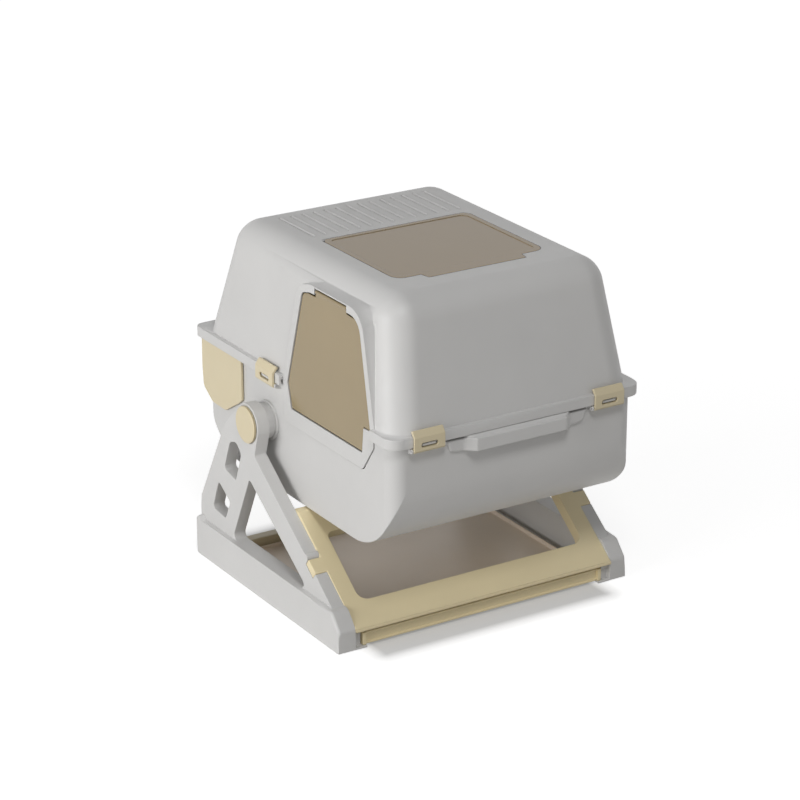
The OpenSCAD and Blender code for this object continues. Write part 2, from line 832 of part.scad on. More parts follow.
// trough that guides the drawer, set into the tub
module drawer_housing() {
    color(white) place() intersection() {
        difference() {
            slab_x(-half_tub + tub_wall, half_tub - tub_wall)
                bay_outline(drawer_gap + housing_wall, tub_top);
            intersection() {
                slab_x(-half_tub, half_tub) bay_outline(drawer_gap, tub_top + 2);
                bay_room(housing_wall);
            }
        }
        tub_body(tub_wall + seat, tub_top + 2);
    }
}

// ---------- front handle ----------
module front_handle() {
    l = grip_length / 2;
    z1 = rim_low - 3.5;
    z0 = z1 - grip_height;
    base = 4.5;
    c = grip_reach - base;
    color(white) place() difference() {
        union() {
            slab_y(tub_front - base, tub_front) polygon([
                [-l - 43, z1], [-l - 36, z0 + 3], [-l - 24, z0], [l + 24, z0],
                [l + 36, z0 + 3], [l + 43, z1]]);
            linear_extrude_at(z0, z1) polygon([
                [-l - c - 3, tub_front - base + 1], [-l, grip_y], [l, grip_y],
                [l + c + 3, tub_front - base + 1]]);
        }
        // grip recess, open underneath
        linear_extrude_at(z0 - 1, z1 - 3) polygon([
            [-l - c + 7, tub_front - base + 0.5], [-l + 3, grip_y + 3.5],
            [l - 3, grip_y + 3.5], [l + c - 7, tub_front - base + 0.5]]);
    }
}

// ---------- latches ----------
// the hook leans over a wedge on the hood rim; both slopes are parallel
hook_slope = 40;
hook_rise = 5;
hook_gap = 0.5;
keeper_y = 0.6;
hook_top = rim_top + 8.4;
latch_face = -latch_out;
latch_back = latch_face + latch_plate;
knuckle_r = 3.5;
slot_half = 13.8;
slot_low = rim_low - 0.6;
slot_height = 7.6;
slot_round = 3.7;
module keeper() {
    in = keeper_y + hook_rise * tan(hook_slope);
    slab_x(-latch_width / 2 + 5, latch_width / 2 - 5) polygon([
        [keeper_y, rim_top], [in, rim_top + hook_rise],
        [in + 1, rim_top + hook_rise], [in + 1, rim_top - 1], [keeper_y, rim_top - 1]]);
}
module latch() {
    w = latch_width / 2;
    // the inner slope runs past the top of the wedge
    y0 = keeper_y - hook_gap / cos(hook_slope);
    low = (y0 - latch_back) / tan(hook_slope);
    top = hook_top - 2.4 - rim_top;
    difference() {
        union() {
            slab_x(-w, w) polygon(rounded([
                [latch_face, latch_pin_z - 1, 1.2],
                [latch_face, rim_top - low + 1, 2],
                [y0 + top * tan(hook_slope) - 3.2, hook_top, 1.2],
                [y0 + top * tan(hook_slope) + 0.6, hook_top - 0.6, 0.8],
                [y0 + top * tan(hook_slope), rim_top + top, 0.4],
                [latch_back, rim_top - low, 0],
                [latch_back, latch_pin_z - 1, 0]], 4));
            rod_x(-w, w, latch_pin_out, latch_pin_z, knuckle_r);
            slab_x(-w, w) polygon([
                [latch_face, latch_pin_z - 1], [latch_back, latch_pin_z + 4],
                [latch_face, latch_pin_z + 4]]);
            slab_x(-w, w) polygon([
                [latch_face + 1, latch_pin_z - 2.6], [latch_pin_out, latch_pin_z - knuckle_r],
                [latch_pin_out, latch_pin_z + 3.2], [latch_face + 1, latch_pin_z + 3.2]]);
        }
        // slot in the plate
        slab_y(latch_face - 1, latch_back + 0.5) polygon(rounded([
            [-slot_half, slot_low, slot_round], [slot_half, slot_low, slot_round],
            [slot_half, slot_low + slot_height, slot_round],
            [-slot_half, slot_low + slot_height, slot_round]]));
        rod_x(-w - 1, w + 1, latch_pin_out, latch_pin_z, latch_pin_radius + axle_play);
    }
}
module latch_pin() {
    w = lug_x + lug_width / 2 - 0.5;
    rod_x(-w, w, latch_pin_out, latch_pin_z, latch_pin_radius);
}
module latch_pins() {
    color(steel) place() at_latches() latch_pin();
}
module latch_front_left() {
    color(yellow) place() at_front(-latch_offset) latch();
}
module latch_front_right() {
    color(yellow) place() at_front(latch_offset) latch();
}
module latch_rear_left() {
    color(yellow) place() at_rear(-rear_latch_offset) latch();
}
module latch_rear_right() {
    color(yellow) place() at_rear(rear_latch_offset) latch();
}
module latch_side_left() {
    color(yellow) place() at_left() latch();
}
module latch_side_right() {
    color(yellow) place() at_right() latch();
}

// ---------- waste drawer ----------
drawer_proud = 5;
drawer_lap = 4;
drawer_x0 = -half_tub - drawer_proud;
drawer_x1 = half_tub - tub_wall - seat - housing_wall - drawer_gap;
module waste_drawer() {
    top = rim_low - 0.8;
    w = drawer_wall;
    color(yellow) place() difference() {
        union() {
            // front, a little larger than the mouth of the bay at its rear edge
            slab_x(drawer_x0, drawer_x0 + drawer_front) difference() {
                bay_outline(drawer_lap, top, drawer_wrap);
                translate([bay_y0 - drawer_lap - 6, 0]) square([drawer_lap + 2.4, top + 10]);
            }
            intersection() {
                slab_x(drawer_x0 + drawer_front - 1, drawer_x1) bay_outline(0, top);
                bay_room(housing_wall + drawer_gap);
            }
        }
        intersection() {
            slab_x(drawer_x0 + drawer_front + w, drawer_x1 - w) bay_outline(-w, top + 5);
            bay_room(housing_wall + drawer_gap + w);
        }
    }
}

// ---------- sieve ----------
sieve_y = bay_y0 - drawer_gap - housing_wall;
sieve_half = half_tub - tub_wall - 14;
sieve_edge = 8;
sieve_sink = 24;
sieve_foot = 22;
sieve_tip = 10;
sieve_root = 14;
module sieve_screen() {
    n = floor(2 * (sieve_half - sieve_edge) / (sieve_slot + sieve_web));
    z = tub_top - sieve_sink;
    t = sieve_thickness;
    ramp = sieve_run * [-cos(sieve_tilt), sin(sieve_tilt)];
    under = -t * [sin(sieve_tilt), cos(sieve_tilt)];
    bend = t * (1 - sin(sieve_tilt)) / cos(sieve_tilt);
    color(white) place() difference() {
        // ramp, with a foot that lies against the front wall of the bay
        slab_x(-sieve_half, sieve_half) polygon([
            [sieve_y, z - sieve_foot], [sieve_y, z], [sieve_y, z] + ramp, [sieve_y, z] + ramp + under,
            [sieve_y - t, z + under[1] + bend * sin(sieve_tilt)], [sieve_y - t, z - sieve_foot]]);
        translate([0, sieve_y, z]) rotate([-sieve_tilt, 0, 0]) {
            for (i = [0:n - 1]) {
                translate([(i - (n - 1) / 2) * (sieve_slot + sieve_web), 0, 0])
                    block([-sieve_slot / 2, -sieve_run + sieve_tip, -t - 1],
                        [sieve_slot / 2, -sieve_root, 1]);
            }
        }
    }
}

// ---------- hood ----------
// rounded loft: a plan outline at the rim and four balls under the roof
hood_y0 = rim_y0 + 7;
hood_y1 = rim_y1 - 21;
rear_round = hood_round - 12;
module hood_shell(inset) {
    r = hood_round - inset;
    h = hood_height;
    lean_s = atan2(side_lean, h);
    lean_f = atan2(front_lean, h);
    lean_r = atan2(rear_lean, h);
    zc = h - hood_round;
    xs = half_tub - side_lean * zc / h - hood_round / cos(lean_s);
    yf = hood_y0 + front_lean * zc / h + hood_round / cos(lean_f);
    yr = hood_y1 - rear_lean * zc / h - hood_round / cos(lean_r);
    foot = 2 + inset;
    hull() {
        translate([0, 0, rim_top - foot]) linear_extrude(foot)
            plan([-half_tub + inset, hood_y0 + inset], [half_tub - inset, hood_y1 - inset],
                hood_round - inset, rear_round - inset);
        for (x = [-xs, xs], y = [yf, yr]) {
            translate([x, y, rim_top + zc]) sphere(r = r, $fn = 48);
        }
    }
}

window_y0 = tub_front + window_setback;
window_y1 = window_y0 + window_length;
window_pin_r = 1;
window_pin_y = window_y1 - window_thickness / 2;
window_pin_z = roof_z - window_thickness / 2;
window_pin_in = 24;
window_pin_out = 4;
pane_gap = 0.5;
tab_out = 16;
window_corner = 18;
// the lid's rear corners are rounder than its seat, so that it can swing up
lid_rear_corner = 16;
seat_rear_corner = 8;
lid_recess = 0.8;
lid_border = 9;
module window_plan(g, rear_corner) {
    w = window_width / 2;
    t = window_tab / 2;
    union() {
        plan([-w - g, window_y0 - g], [w + g, window_y1 + g], window_corner + g, rear_corner);
        polygon(rounded([
            [-t - g, window_y0 + 5, 0], [-t + 4 - g, window_y0 - tab_out - g, 3],
            [t - 4 + g, window_y0 - tab_out - g, 3], [t + g, window_y0 + 5, 0]]));
    }
}
vent_gap = 18;
vent_y1 = window_y1 + vent_gap;
light_border = 8;

boss_proud = 1.5;
boss_x = half_tub + boss_proud;
door_pin_z = door_top + 4.5;
flap_x0 = -boss_x + 1.3;
door_pin_x = flap_x0 + flap_thickness / 2;
door_pin_r = 1.2;
barrel_r = 2.8;
pocket_setback = 62;
pocket_y0 = door_front + pocket_setback;
bearing_width = 8;
bearing_half = 5;
pocket_y1 = pocket_y0 + door_pocket;

// raised border: the door outline grown by its width, with the lobe that hangs into the tub
module boss_outline(inset) {
    g = door_border - inset;
    difference() {
        door_outline(g);
        translate([door_front - 40, 0]) square([300, rim_under]);
    }
}

module hood() {
    color(white) place() difference() {
        union() {
            difference() {
                union() {
                    hood_shell(0);
                    linear_extrude_at(rim_low, rim_top)
                        plan([-half_rim, rim_y0], [half_rim, rim_y1], 22, 14);
                    slab_x(-boss_x, -half_tub + side_lean + 2) boss_outline(0);
                    at_latches() keeper();
                }
                hood_shell(hood_wall);
                // channel that drops over the flange of the tub
                linear_extrude_at(rim_low - 1, rim_under)
                    plan([-half_rim + hood_wall, rim_y0 + hood_wall],
                        [half_rim - hood_wall, rim_y1 - hood_wall], 22 - hood_wall, 14 - hood_wall);
                linear_extrude_at(rim_low - 1, rim_top + 2)
                    plan([-half_tub + hood_wall, hood_y0 + hood_wall],
                        [half_tub - hood_wall, hood_y1 - hood_wall],
                        hood_round - hood_wall, rear_round - hood_wall);
                slab_x(-boss_x + hood_wall, 0) boss_outline(hood_wall);
                // the rim is open at the door, where the lobe passes
                slab_x(-half_rim - 1, -boss_x) lobe_outline(0);
            }
            // lobe below the rim, flush with the border
            slab_x(-boss_x, -boss_x + hood_wall) lobe_outline(0);
            // seat under the window
            intersection() {
                hood_shell(0);
                linear_extrude_at(roof_z - window_thickness - pane_gap - 3, roof_z)
                    window_plan(6, seat_rear_corner);
            }
            // bearings for the door pin
            for (y = [pocket_y0 - bearing_width, pocket_y1]) {
                block([-boss_x + 0.5, y, door_pin_z - bearing_half],
                    [-boss_x + 8, y + bearing_width, door_pin_z + bearing_half]);
            }
        }
        // window: seat, light opening and hinge room
        linear_extrude_at(roof_z - window_thickness - pane_gap, roof_z + 5)
            window_plan(pane_gap, seat_rear_corner);
        linear_extrude_at(roof_z - 40, roof_z + 5)
            plan([-window_width / 2 + light_border, window_y0 + light_border],
                [window_width / 2 - light_border, window_y1 - light_border],
                window_corner - light_border + 2, lid_rear_corner - light_border);
        for (s = [-1, 1]) {
            window_pin(s, 0);
        }
        // vents
        for (i = [0:vent_count - 1]) {
            translate([(i - (vent_count - 1) / 2) * vent_pitch, 0, 0])
                block([-vent_width / 2, vent_y1, roof_z - hood_wall - 20],
                    [vent_width / 2, vent_y1 + vent_length, roof_z + 5]);
        }
        // door opening, hinge pocket and pin hole
        slab_x(-boss_x - 20, -boss_x + hood_wall + 12) door_outline(0);
        block([-boss_x - 20, pocket_y0, door_top - 8], [-boss_x + 14, pocket_y1, door_top + 10]);
        rod_y(pocket_y0 - bearing_width + 1, pocket_y1 + bearing_width - 1,
            door_pin_x, door_pin_z, door_pin_r);
    }
}

module window_lid() {
    r = window_thickness / 2;
    w = window_width / 2;
    color(tan_clear) place() difference() {
        union() {
            difference() {
                linear_extrude_at(roof_z - window_thickness, roof_z)
                    window_plan(0, lid_rear_corner);
                block([-w - 1, window_pin_y, roof_z - 10], [w + 1, window_y1 + 1, roof_z + 1]);
            }
            rod_x(-w + lid_rear_corner, w - lid_rear_corner, window_pin_y, window_pin_z, r);
        }
        // the middle lies a little below the border
        linear_extrude_at(roof_z - lid_recess, roof_z + 1) plan(
            [-w + lid_border, window_y0 + lid_border],
            [w - lid_border, window_y1 - lid_border], window_corner - lid_border + 4,
            lid_rear_corner - lid_border + 4);
        for (s = [-1, 1]) {
            window_pin(s, axle_play);
        }
    }
}
module window_pin(s, play) {
    w = window_width / 2;
    rod_x(s > 0 ? w - window_pin_in - play * 10 : -w - window_pin_out,
        s > 0 ? w + window_pin_out : -w + window_pin_in + play * 10,
        window_pin_y, window_pin_z, window_pin_r + play);
}
module window_pins() {
    color(steel) place() for (s = [-1, 1]) {
        window_pin(s, 0);
    }
}

module door_flap() {
    color(tan_clear) place() difference() {
        union() {
            slab_x(flap_x0, flap_x0 + flap_thickness) intersection() {
                door_outline(-flap_gap);
                translate([door_front - 10, 0]) square([400, door_pin_z - 8]);
            }
            block([flap_x0, pocket_y0 + 2, door_pin_z - 10],
                [flap_x0 + flap_thickness, pocket_y1 - 2, door_pin_z]);
            rod_y(pocket_y0 + 2, pocket_y1 - 2, door_pin_x, door_pin_z, barrel_r);
        }
        rod_y(pocket_y0, pocket_y1, door_pin_x, door_pin_z, door_pin_r + axle_play);
    }
}
module door_pins() {
    color(steel) place() rod_y(pocket_y0 - bearing_width + 1, pocket_y1 + bearing_width - 1,
            door_pin_x, door_pin_z, door_pin_r);
}

// ---------- output ----------
side_frame_left();
side_frame_right();
front_panel();
rear_crossbar();
base_tray();
tray_lip();
frame_screws();
feet();
stop_pads();
pivot_bush_left();
pivot_bush_right();
pivot_axle_left();
pivot_axle_right();
pivot_nuts();
pivot_cap_left();
pivot_cap_right();
tub();
drawer_housing();
front_handle();
sieve_screen();
waste_drawer();
latch_brackets();
latch_pins();
latch_front_left();
latch_front_right();
latch_rear_left();
latch_rear_right();
latch_side_left();
latch_side_right();
hood();
window_lid();
window_pins();
door_flap();
door_pins();
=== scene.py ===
import json
import math

import bmesh
import bpy
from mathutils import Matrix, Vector
from mathutils.bvhtree import BVHTree
from mathutils.geometry import intersect_line_line_2d


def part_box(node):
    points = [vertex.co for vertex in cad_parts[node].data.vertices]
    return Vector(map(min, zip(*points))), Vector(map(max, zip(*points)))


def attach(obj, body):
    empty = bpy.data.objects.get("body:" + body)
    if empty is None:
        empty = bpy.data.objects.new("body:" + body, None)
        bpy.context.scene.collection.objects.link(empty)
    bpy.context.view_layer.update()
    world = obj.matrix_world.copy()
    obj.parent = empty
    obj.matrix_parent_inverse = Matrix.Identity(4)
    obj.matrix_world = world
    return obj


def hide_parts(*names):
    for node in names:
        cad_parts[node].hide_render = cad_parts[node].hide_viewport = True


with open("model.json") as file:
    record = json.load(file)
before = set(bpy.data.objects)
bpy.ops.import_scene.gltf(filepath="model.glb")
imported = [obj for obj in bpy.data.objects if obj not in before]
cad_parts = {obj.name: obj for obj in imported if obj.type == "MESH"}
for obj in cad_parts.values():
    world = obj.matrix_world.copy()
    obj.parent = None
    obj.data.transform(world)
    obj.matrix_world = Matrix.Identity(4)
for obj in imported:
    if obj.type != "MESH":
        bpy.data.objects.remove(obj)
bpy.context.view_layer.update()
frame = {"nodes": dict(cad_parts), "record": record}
nodes = frame["nodes"]
scene = bpy.context.scene

MM = 0.001
LATCHES = ["latch_%s_%s" % (wall, hand) for wall in ("front", "rear", "side")
           for hand in ("left", "right")]


# ---------- materials ----------
DARK_SHARE = 0.95               # darkest part of the slow colour drift
POLISH_SHARES = (0.88, 1.1)     # how far the roughness varies
SOFT_EDGE = 0.0009
SOFT_EDGE_SAMPLES = 6
PLASTIC_IOR = 1.49


def node(tree, kind, **values):
    """A shader node with its plain inputs set by name."""
    n = tree.nodes.new(kind)
    for key, value in values.items():
        n.inputs[key.replace("_", " ")].default_value = value
    return n


def ramp(tree, source, stops):
    """A colour ramp over source; stops are (place, colour)."""
    r = tree.nodes.new("ShaderNodeValToRGB")
    while len(r.color_ramp.elements) < len(stops):
        r.color_ramp.elements.new(0.5)
    for e, (place, colour) in zip(r.color_ramp.elements, stops):
        e.position = place
        e.color = (*colour, 1)
    tree.links.new(source, r.inputs[0])
    return r.outputs[0]


def grey(v):
    return (v, v, v)


def moulded(name, colour, rough, grain=0.12, swell=0.06, clear=0.0, metal=0.0):
    """Moulded plastic: slow colour drift, a fine spark-eroded texture, uneven polish, soft edges."""
    m = bpy.data.materials.new(name)
    m.use_nodes = True
    t = m.node_tree
    s = t.nodes["Principled BSDF"]
    place = t.nodes.new("ShaderNodeTexCoord").outputs["Object"]
    slow = node(t, "ShaderNodeTexNoise", Scale=6.0, Detail=3.0, Roughness=0.6)
    t.links.new(place, slow.inputs["Vector"])
    dark = tuple(c * DARK_SHARE for c in colour)
    t.links.new(ramp(t, slow.outputs[0], [(0.3, dark), (0.7, colour)]), s.inputs["Base Color"])
    wear = node(t, "ShaderNodeTexNoise", Scale=45.0, Detail=4.0, Roughness=0.65)
    t.links.new(place, wear.inputs["Vector"])
    smooth, rougher = (grey(rough * share) for share in POLISH_SHARES)
    polish = ramp(t, wear.outputs[0], [(0.35, smooth), (0.7, rougher)])
    t.links.new(polish, s.inputs["Roughness"])
    flow = node(t, "ShaderNodeTexNoise", Scale=9.0, Detail=1.0, Roughness=0.4)
    t.links.new(place, flow.inputs["Vector"])
    low = node(t, "ShaderNodeBump", Strength=swell, Distance=0.0015)
    t.links.new(flow.outputs[0], low.inputs["Height"])
    soft = node(t, "ShaderNodeBevel", Radius=SOFT_EDGE)
    soft.samples = SOFT_EDGE_SAMPLES
    t.links.new(soft.outputs[0], low.inputs["Normal"])
    fine = node(t, "ShaderNodeTexNoise", Scale=1400.0, Detail=2.0, Roughness=0.5)
    t.links.new(place, fine.inputs["Vector"])
    bump = node(t, "ShaderNodeBump", Strength=grain, Distance=0.00012)
    t.links.new(fine.outputs[0], bump.inputs["Height"])
    t.links.new(low.outputs[0], bump.inputs["Normal"])
    t.links.new(bump.outputs[0], s.inputs["Normal"])
    s.inputs["IOR"].default_value = PLASTIC_IOR
    s.inputs["Metallic"].default_value = metal
    s.inputs["Transmission Weight"].default_value = clear
    return m


def tinted(name, colour):
    """Smooth plastic that lets a little light through."""
    return moulded(name, colour, 0.16, clear=0.2, grain=0.0, swell=0.02)


white = moulded("white_moulded", (0.67, 0.664, 0.654), 0.46)
# the white plastic of the tray made warmer and lighter: painted bounce light from the yellow parts
tray_painted_bounce = moulded("tray_painted_bounce_white", (0.92, 0.8, 0.67), 0.36, swell=0.02)
yellow = moulded("yellow_moulded", (0.73, 0.635, 0.43), 0.4)
# the yellow plastic again, made lighter: painted light for the extra light that falls on the front
# panel and tray lip
yellow_painted_lit = moulded("panel_yellow_painted_lit", (0.86, 0.74, 0.47), 0.38)
smoke = tinted("tinted_moulded", (0.42, 0.325, 0.175))
# the door tint again, made darker: painted shade that offsets the light and reflection on the top of
# the window
pane_painted_shade = tinted("window_tint_painted_shade", (0.345, 0.24, 0.105))
rubber = moulded("rubber_moulded", (0.045, 0.045, 0.047), 0.75, grain=0.3)
steel = moulded("pin_steel", (0.6, 0.6, 0.62), 0.3, grain=0.05, metal=1.0)
bearing = moulded("bearing_moulded", (0.32, 0.32, 0.33), 0.5)
by_slot = {"white_plastic": white, "yellow_plastic": yellow, "tinted_clear": smoke,
           "rubber": rubber, "steel": steel, "bearing_plastic": bearing}
# these copies carry painted light and shade: a lighter yellow on panel and lip, a warmer lighter white
# on the tray, a darker tint on the window
by_node = {"base_tray": tray_painted_bounce, "window_lid": pane_painted_shade, "front_panel": yellow_painted_lit, "tray_lip": yellow_painted_lit}
slots = {p["node"]: p["material_slot"] for p in frame["record"]["subparts"]}
bodies = {member: body for body, members in frame["record"]["behaviour"]["bodies"].items()
          for member in members}

for name, o in nodes.items():
    o.data.materials.clear()
    o.data.materials.append(by_node.get(name, by_slot[slots[name]]))


# ---------- moulded pieces: the CAD outline with rounded edges and smooth faces ----------
WELD = 2e-6                     # points closer than this are one point
FLAT = math.radians(0.6)        # faces that meet at less are joined
SHARP = math.radians(32)        # edges that turn by more are rounded
SEGMENTS = 3                    # of each rounding
SLIVER = 1e-10                  # area in m2 below which a triangle isn't tested
TOUCH = 2e-6                    # sides that meet this near an end don't cross
DEEP = 0.0005                   # how near the CAD face a folded triangle is looked for
FOLDED = -0.3                   # cosine between the two normals of a folded triangle
ROUNDS = 12                     # tries at a sound mesh
ROUNDS_LEFT_SOFT = 4            # tries that narrow an edge before it is left sharp
SHARE_STEP = 0.6                # each of these tries narrows an edge by this factor
SHARE_LEAST = 0.12              # below this share an edge is left sharp
REACH, REACH_LEAST, REACH_LAST = 1.6, 0.3, 2.5   # edges this near a fault, in widths, are narrowed
ON_FACE = 0.0002                # an edge this near a face or outline lies on it
LEVEL = 0.0001                  # an edge that rises by less is level


def crossings(f):
    """Places where the outline of a face crosses itself."""
    axis = max(range(3), key=lambda k: abs(f.normal[k]))
    flat = [Vector([c for k, c in enumerate(v.co) if k != axis]) for v in f.verts]
    count = len(flat)
    sides = []
    for k, p in enumerate(flat):
        q = flat[(k + 1) % count]
        sides.append((min(p.x, q.x), max(p.x, q.x), min(p.y, q.y), max(p.y, q.y), p, q))
    spots = []
    for i, (x0, x1, y0, y1, p, q) in enumerate(sides):
        for u0, u1, w0, w1, r, s in sides[i + 2:]:
            if u0 > x1 or u1 < x0 or w0 > y1 or w1 < y0:
                continue
            hit = intersect_line_line_2d(p, q, r, s)
            if hit and all((hit - end).length > TOUCH for end in (p, q, r, s)):
                t = (hit - p).length / (q - p).length
                spots.append(f.verts[i].co.lerp(f.verts[(i + 1) % count].co, t))
    return spots


def faults(b, skin):
    """Places where a rounded mesh folds over, or cuts through itself."""
    b.normal_update()
    spots = [spot for f in b.faces if len(f.verts) > 4 for spot in crossings(f)]
    if spots:
        return spots
    bmesh.ops.triangulate(b, faces=b.faces[:])
    b.faces.ensure_lookup_table()
    corners = [{v.index for v in f.verts} for f in b.faces]
    middles = [f.calc_center_median() for f in b.faces]
    real = [f.calc_area() > SLIVER for f in b.faces]
    for f, middle, counts in zip(b.faces, middles, real):
        if counts:
            _, normal, _, gap = skin.find_nearest(middle)
            if gap < DEEP and f.normal.dot(normal) < FOLDED:
                spots.append(middle)
    tree = BVHTree.FromBMesh(b)
    for i, j in tree.overlap(tree):
        if i < j and real[i] and real[j] and not corners[i] & corners[j]:
            spots.append((middles[i] + middles[j]) / 2)
    return spots


def off_edge(p, a, c):
    """Distance from point p to the straight edge between a and c."""
    along = c - a
    length = along.length_squared
    t = max(0.0, min(1.0, (p - a).dot(along) / length)) if length else 0.0
    return (a + along * t - p).length


def edge_modifiers(o, width):
    """Rounding by edge weight, then triangles, then even normals."""
    rounding = o.modifiers.new("edges", "BEVEL")
    rounding.width = width
    rounding.segments = SEGMENTS
    rounding.limit_method = "WEIGHT"
    rounding.use_clamp_overlap = False
    cut = o.modifiers.new("triangles", "TRIANGULATE")
    cut.min_vertices = 4
    even = o.modifiers.new("normals", "WEIGHTED_NORMAL")
    even.weight = 100
    even.keep_sharp = True


def rounding_faults(o, skin):
    """Faults of an object as its modifiers leave it."""
    rounded = o.evaluated_get(bpy.context.evaluated_depsgraph_get())
    b = bmesh.new()
    b.from_mesh(rounded.to_mesh())
    spots = faults(b, skin)
    b.free()
    rounded.to_mesh_clear()
    return spots


def soften(name, width, bold=None, fine=0.25):
    """A piece in place of a CAD node, its edges rounded by width wherever the form has room.

    An edge that bold leaves out starts at the share fine of the width. Where a rounding folds
    over, the edges around it are rounded less, until the mesh is sound.
    """
    mesh = nodes[name].data.copy()
    b = bmesh.new()
    b.from_mesh(mesh)
    bmesh.ops.remove_doubles(b, verts=b.verts, dist=WELD)
    skin = BVHTree.FromBMesh(b)
    bmesh.ops.dissolve_limit(b, angle_limit=FLAT, verts=b.verts, edges=b.edges, delimit=set())
    b.edges.layers.float.new("bevel_weight_edge")
    b.edges.index_update()
    edges = [e for e in b.edges if e.is_manifold and e.calc_face_angle(0) > SHARP]
    places = [e.index for e in edges]
    ends = [(e.verts[0].co.copy(), e.verts[1].co.copy()) for e in edges]
    share = [1.0 if bold is None or bold(*pair) else fine for pair in ends]
    b.to_mesh(mesh)
    b.free()
    o = bpy.data.objects.new(name + "_body", mesh)
    scene.collection.objects.link(o)
    mesh.shade_smooth()
    mesh.set_sharp_from_angle(angle=SHARP)
    edge_modifiers(o, width)
    for attempt in range(ROUNDS):
        weights = mesh.attributes["bevel_weight_edge"].data
        for place, value in zip(places, share):
            weights[place].value = value
        mesh.update_tag()
        spots = rounding_faults(o, skin)
        if not spots:
            break
        cells = {tuple(round(c / width) for c in spot): spot for spot in spots}
        last = attempt >= ROUNDS_LEFT_SOFT
        for k, (pair, value) in enumerate(zip(ends, share)):
            reach = width * (REACH_LAST if last else max(REACH * value, REACH_LEAST))
            if value and any(off_edge(spot, *pair) < reach for spot in cells.values()):
                share[k] = 0.0 if last or value < SHARE_LEAST else value * SHARE_STEP
    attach(o, bodies[name])
    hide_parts(name)


WIDTHS = {
    "rear_crossbar": 0.0015, "base_tray": 0.001, "tray_lip": 0.001,
    "tub": 0.0009, "drawer_housing": 0.0006, "waste_drawer": 0.001,
    "sieve_screen": 0.0004, "window_lid": 0.0008, "door_flap": 0.0008,
    "pivot_cap_left": 0.0005, "pivot_cap_right": 0.0005, "feet": 0.0006,
    "pivot_axle_left": 0.0005, "pivot_axle_right": 0.0005, "latch_brackets": 0.0003}
LATCH_WIDTH = 0.0006
for name, width in WIDTHS.items():
    soften(name, width)
for name in LATCHES:
    soften(name, LATCH_WIDTH)

# the hood is rounded only along the outer outline of its rim
HOOD_WIDTH = 0.0012
RIM_HALF = (213 * MM, 282 * MM)
RIM_MIDDLE = 1.8 * MM
RIM_FRONT_ROUND = 22 * MM
RIM_REAR_ROUND = 14 * MM


def rim_edge(a, c):
    """Whether an edge lies on the outer outline of the rim of the hood."""
    for p in (a, c):
        deep = p.y - RIM_MIDDLE
        turn = RIM_REAR_ROUND if deep > 0 else RIM_FRONT_ROUND
        over = Vector((max(abs(p.x) - RIM_HALF[0] + turn, 0), max(abs(deep) - RIM_HALF[1] + turn, 0)))
        if abs(over.length - turn) > ON_FACE:
            return False
    return abs(a.z - c.z) < LEVEL


soften("hood", HOOD_WIDTH, rim_edge, 0.0)

# the panel keeps its short edges sharp
PANEL_WIDTH = 0.0016
PANEL_SHORT = 8 * MM
soften("front_panel", PANEL_WIDTH, lambda a, c: (a - c).length > PANEL_SHORT, 0.0)

FRAME_WIDTH = 0.004


def outer_face(name):
    """A test of whether an edge lies on the face of a side frame that is turned outward."""
    low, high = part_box(name)
    side = low[0] if low[0] < 0 else high[0]
    return lambda a, c: abs(a.x - side) < ON_FACE and abs(c.x - side) < ON_FACE


for name in ("side_frame_left", "side_frame_right"):
    soften(name, FRAME_WIDTH, outer_face(name))

# the front of the grip is rounded most
HANDLE_WIDTH = 0.003
HANDLE_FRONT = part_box("front_handle")[0][1] + MM * 15
HANDLE_FINE = 0.4
soften("front_handle", HANDLE_WIDTH, lambda a, c: max(a.y, c.y) < HANDLE_FRONT, HANDLE_FINE)


# ---------- details that the solids leave out ----------
def piece(name, b, material, body, edge=0.0):
    """A mesh built in b, as an object that moves with a body."""
    bmesh.ops.recalc_face_normals(b, faces=b.faces)
    mesh = bpy.data.meshes.new(name)
    b.to_mesh(mesh)
    b.free()
    mesh.materials.append(material)
    mesh.shade_smooth()
    mesh.set_sharp_from_angle(angle=SHARP)
    o = bpy.data.objects.new(name, mesh)
    scene.collection.objects.link(o)
    if edge:
        rounding = o.modifiers.new("edges", "BEVEL")
        rounding.width = edge
        rounding.segments = SEGMENTS
        rounding.angle_limit = SHARP
    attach(o, body)


def skin_over(b, rings):
    """Quads between rings of points; the first and last ring are capped."""
    made = [[b.verts.new(p) for p in ring] for ring in rings]
    count = len(made[0])
    for first, second in zip(made, made[1:]):
        for k in range(count):
            n = (k + 1) % count
            b.faces.new((first[k], first[n], second[n], second[k]))
    b.faces.new(made[0])
    b.faces.new(list(reversed(made[-1])))


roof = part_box("hood")[1][2]
lid_low, lid_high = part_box("window_lid")

# profiles are in mm, as (across, up)
VENTS = 14
VENT_PITCH = 19.3 * MM
VENT_AFTER_LID = 18 * MM
VENT_LENGTH = 101 * MM
FIN = [(-1.8, -4.6), (-0.9, -4.6), (2.3, -1.2), (2.7, 0.1), (2.3, 1.0), (1.6, 1.1)]
FIN_END = 0.3               # mm from the end of the slot to the end of the fin
FIN_FULL = 1.5              # mm from the end of the slot to the full height
FIN_END_HEIGHT = 0.6        # share of the height above the roof, at the ends


def vent_lips():
    """Lips of the roof vents: a slanted fin at the right edge of each slot."""
    length = VENT_LENGTH / MM
    y0 = lid_high[1] + VENT_AFTER_LID
    b = bmesh.new()
    for i in range(VENTS):
        x = (i - (VENTS - 1) / 2) * VENT_PITCH
        rings = []
        for along, shrink in ((FIN_END, FIN_END_HEIGHT), (FIN_FULL, 1.0),
                              (length - FIN_FULL, 1.0), (length - FIN_END, FIN_END_HEIGHT)):
            ring = []
            for px, pz in FIN:
                up = pz * shrink if pz > 0 else pz
                ring.append((x + px * MM, y0 + along * MM, roof + up * MM))
            rings.append(ring)
        skin_over(b, rings)
    piece("vent_lips", b, white, "hood_body")


